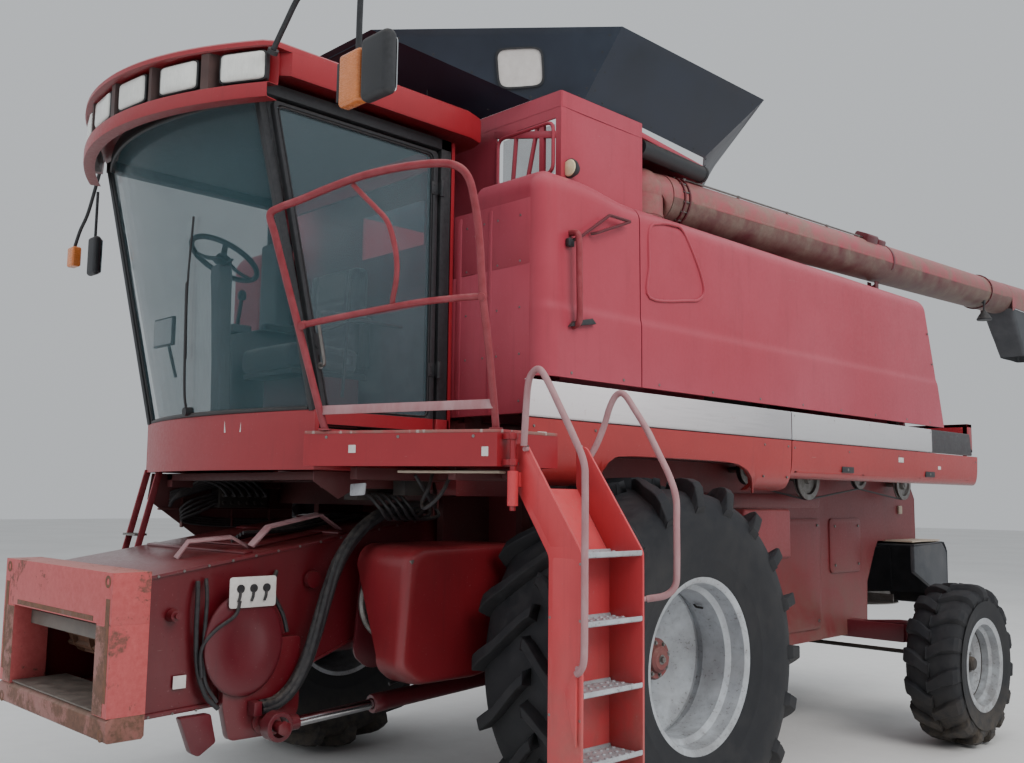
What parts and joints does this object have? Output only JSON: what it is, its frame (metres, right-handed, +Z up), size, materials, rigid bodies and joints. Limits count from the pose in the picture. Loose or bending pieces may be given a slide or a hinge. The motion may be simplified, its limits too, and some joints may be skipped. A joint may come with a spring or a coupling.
{
  "type": "self-propelled combine harvester without header",
  "caption": "Self-propelled combine harvester: cab with ladder, grain tank with flared extension, unloading auger, feeder house, driven and steered wheels.",
  "frame": {"origin": "bottom centre of the bounding box, on the ground", "axes": "-Y forwards along the direction of travel, +X to the left of the machine, +Z up"},
  "size_m": [4.0995, 9.077, 4.17],
  "materials": {
    "frame_paint": "matte, dusty",
    "chassis_black": "matte, muddy",
    "body_red": "satin, faded",
    "panel_red": "satin, sun-faded",
    "shield_red": "satin",
    "maroon_paint": "satin, worn",
    "auger_red": "satin, dirty underside",
    "rail_paint": "satin, worn",
    "extension_black": "satin",
    "engine_paint": "matte",
    "dark_plastic": "matte",
    "floor_mat": "matte",
    "tinted_glass": "tinted",
    "seat_fabric": "woven",
    "hose_rubber": "matte",
    "rusty_steel": "rusty",
    "rod_chrome": "polished",
    "tyre_rubber": "matte, dusty",
    "rim_silver": "satin, scratched",
    "bare_steel": "worn"
  },
  "bodies": {
    "chassis": {"main_frame": "frame_paint", "drive_axle": "chassis_black", "separator_housing": "body_red", "upper_side_panels": "panel_red", "front_side_shields": "shield_red", "front_bulkhead": "panel_red", "grain_tank": "panel_red", "tank_extension": "extension_black", "engine_block": "engine_paint", "engine_deck": "panel_red", "spreader_hood": "dark_plastic", "rear_tail": "frame_paint", "steering_axle": "frame_paint", "cab_floor": "floor_mat", "cab_frame": "panel_red", "cab_roof": "panel_red", "cab_glass": "tinted_glass", "operator_seat": "seat_fabric", "steering_column": "dark_plastic", "control_console": "dark_plastic", "work_platform": "shield_red", "platform_rails": "rail_paint", "mirrors": "dark_plastic", "drive_shields": "body_red", "header_hose": "hose_rubber"},
    "door": {"cab_door": "panel_red", "door_glass": "tinted_glass"},
    "ladder_unit": {"ladder": "shield_red", "ladder_rails": "rail_paint"},
    "feeder": {"feeder_house": "body_red", "feeder_face": "rusty_steel", "feeder_chain": "rusty_steel", "header_drive": "maroon_paint"},
    "barrel_left": {"lift_barrel_left": "frame_paint"},
    "barrel_right": {"lift_barrel_right": "frame_paint"},
    "rod_left": {"lift_rod_left": "rod_chrome"},
    "rod_right": {"lift_rod_right": "rod_chrome"},
    "auger": {"auger_tube": "auger_red", "auger_spout": "hose_rubber"},
    "wheel_front_left": {"front_tyre_left": "tyre_rubber", "front_rim_left": "rim_silver"},
    "wheel_front_right": {"front_tyre_right": "tyre_rubber", "front_rim_right": "rim_silver"},
    "steer_knuckle_left": {"knuckle_left": "frame_paint"},
    "steer_knuckle_right": {"knuckle_right": "frame_paint"},
    "track_rod": {"tie_rod": "frame_paint"},
    "wheel_rear_left": {"rear_tyre_left": "tyre_rubber", "rear_rim_left": "rim_silver"},
    "wheel_rear_right": {"rear_tyre_right": "tyre_rubber", "rear_rim_right": "rim_silver"},
    "side_shield_left": {"rear_shield_left": "shield_red"},
    "side_shield_right": {"rear_shield_right": "shield_red"},
    "spreader_left": {"spreader_disc_left": "bare_steel"},
    "spreader_right": {"spreader_disc_right": "bare_steel"}
  },
  "joints": [
    {"name": "front_left_spin", "type": "hinge", "parent": "chassis", "child": "wheel_front_left", "pos_m": [1.312, -2.1065, 0.92], "axis": [1, 0, 0], "continuous": true},
    {"name": "front_right_spin", "type": "hinge", "parent": "chassis", "child": "wheel_front_right", "pos_m": [-1.652, -2.1065, 0.92], "axis": [1, 0, 0], "continuous": true},
    {"name": "steer_left", "type": "hinge", "parent": "chassis", "child": "steer_knuckle_left", "pos_m": [1.21, 1.3335, 0.74], "axis": [0, 0, 1], "range_deg": [-35, 35]},
    {"name": "steer_right", "type": "hinge", "parent": "chassis", "child": "steer_knuckle_right", "pos_m": [-1.55, 1.3335, 0.74], "axis": [0, 0, 1], "range_deg": [-35, 35]},
    {"name": "track_rod_turn", "type": "hinge", "parent": "steer_knuckle_left", "child": "track_rod", "pos_m": [1.21, 1.5335, 0.6], "axis": [0, 0, 1], "range_deg": [-35, 35]},
    {"name": "rear_left_spin", "type": "hinge", "parent": "steer_knuckle_left", "child": "wheel_rear_left", "pos_m": [1.51, 1.3335, 0.569], "axis": [1, 0, 0], "continuous": true},
    {"name": "rear_right_spin", "type": "hinge", "parent": "steer_knuckle_right", "child": "wheel_rear_right", "pos_m": [-1.85, 1.3335, 0.569], "axis": [1, 0, 0], "continuous": true},
    {"name": "feeder_lift", "type": "hinge", "parent": "chassis", "child": "feeder", "pos_m": [-0.17, -2.6565, 1.45], "axis": [-1, 0, 0], "range_deg": [-12, 12], "deforming": ["header_hose"]},
    {"name": "lift_barrel_left_turn", "type": "hinge", "parent": "chassis", "child": "barrel_left", "pos_m": [0.56, -2.3065, 0.785], "axis": [-1, 0, 0], "range_deg": [-10, 10]},
    {"name": "lift_rod_left_slide", "type": "slide", "parent": "barrel_left", "child": "rod_left", "axis": [0, -0.9984, -0.0566], "range_m": [-0.15, 0.15]},
    {"name": "lift_barrel_right_turn", "type": "hinge", "parent": "chassis", "child": "barrel_right", "pos_m": [-0.9, -2.3065, 0.785], "axis": [-1, 0, 0], "range_deg": [-10, 10]},
    {"name": "lift_rod_right_slide", "type": "slide", "parent": "barrel_right", "child": "rod_right", "axis": [0, -0.9984, -0.0566], "range_m": [-0.15, 0.15]},
    {"name": "auger_swing", "type": "hinge", "parent": "chassis", "child": "auger", "pos_m": [1.03, -1.8165, 3.483], "axis": [0, 0, -1], "range_deg": [0, 90]},
    {"name": "cab_door_hinge", "type": "hinge", "parent": "chassis", "child": "door", "pos_m": [0.698, -3.0185, 2.57], "axis": [0, 0, 1], "range_deg": [0, 60]},
    {"name": "ladder_swing", "type": "hinge", "parent": "chassis", "child": "ladder_unit", "pos_m": [1.58, -3.3515, 1.77], "axis": [0, 0, 1], "range_deg": [-90, 0]},
    {"name": "side_shield_left_lift", "type": "hinge", "parent": "chassis", "child": "side_shield_left", "pos_m": [1.315, 0.7935, 2.27], "axis": [0, -1, 0], "range_deg": [0, 70]},
    {"name": "side_shield_right_lift", "type": "hinge", "parent": "chassis", "child": "side_shield_right", "pos_m": [-1.655, 0.7935, 2.27], "axis": [0, 1, 0], "range_deg": [0, 70]},
    {"name": "spreader_left_spin", "type": "hinge", "parent": "chassis", "child": "spreader_left", "pos_m": [0.35, 2.0935, 0.92], "axis": [0, 0, 1], "continuous": true},
    {"name": "spreader_right_spin", "type": "hinge", "parent": "chassis", "child": "spreader_right", "pos_m": [-0.69, 2.0935, 0.92], "axis": [0, 0, 1], "continuous": true}
  ],
  "couplings": [
    {"joint": "steer_right", "follows": "steer_left", "ratio": 1},
    {"joint": "track_rod_turn", "follows": "steer_left", "ratio": -1},
    {"joint": "lift_barrel_left_turn", "follows": "feeder_lift", "ratio": 0.795},
    {"joint": "lift_rod_left_slide", "follows": "feeder_lift", "m_per_rad": 0.682},
    {"joint": "lift_barrel_right_turn", "follows": "feeder_lift", "ratio": 0.795},
    {"joint": "lift_rod_right_slide", "follows": "feeder_lift", "m_per_rad": 0.682}
  ]
}
